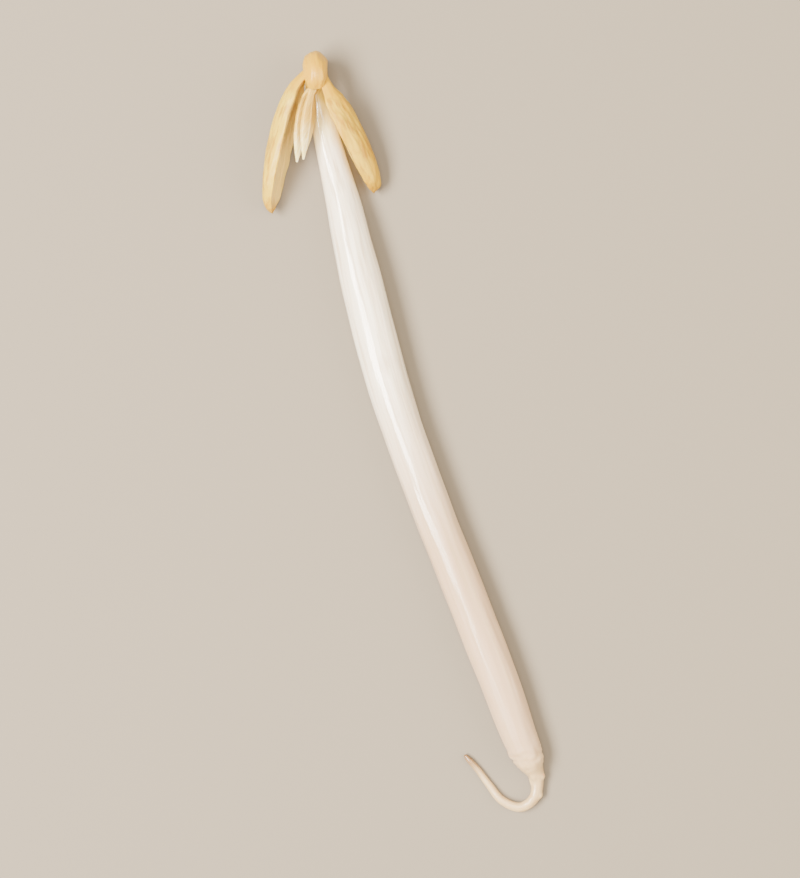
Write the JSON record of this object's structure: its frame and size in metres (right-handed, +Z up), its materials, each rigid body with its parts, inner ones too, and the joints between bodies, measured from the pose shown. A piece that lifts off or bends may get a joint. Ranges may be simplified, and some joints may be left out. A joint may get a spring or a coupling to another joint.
{
  "type": "mung bean sprout",
  "caption": "Mung bean sprout lying on its side: white stem with a hooked neck, split yellow bean halves, small first leaves and a curled root.",
  "frame": {"origin": "on the surface the sprout lies on, under the middle of its box", "axes": "+Y along the stem from the root to the head, +Z up off the surface, +X to the right seen from above with the head away from you"},
  "size_m": [0.009, 0.0602, 0.0042],
  "materials": {
    "stem": "moist, glossy, slightly translucent white plant tissue, beige at the root",
    "bean_half": "soft satin, warm yellow bean flesh with a paler cream inner face",
    "leaf": "soft satin, pale creamy yellow young leaf with fine veins"
  },
  "bodies": {
    "root": {"stem_and_root": "stem", "cotyledon_left": "bean_half", "cotyledon_right": "bean_half", "first_leaf_upper": "leaf", "first_leaf_lower": "leaf"}
  },
  "joints": []
}
